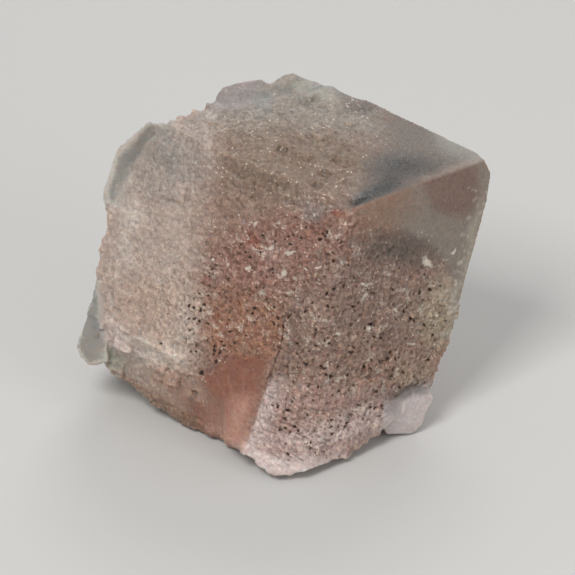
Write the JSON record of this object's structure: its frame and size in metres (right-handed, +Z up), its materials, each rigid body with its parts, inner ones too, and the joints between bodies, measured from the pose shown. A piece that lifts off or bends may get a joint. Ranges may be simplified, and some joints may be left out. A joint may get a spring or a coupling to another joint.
{
  "type": "fluorite crystal specimen",
  "caption": "Intergrown cube-like fluorite crystals with a rough etched front, smooth glassy corner, clear chipped edges and a worn flat underside to stand on.",
  "frame": {"origin": "centre of the specimen's bounding box, on the plane it stands on", "axes": "+Z up, +X to the right of the rough front, the front faces -Y and leans back"},
  "size_m": [0.0292, 0.0228, 0.024],
  "materials": {
    "pink_fluorite": "etched and pitted, glassy at the corner and chips"
  },
  "bodies": {
    "root": {"fluorite_crystals": "pink_fluorite"}
  },
  "joints": []
}
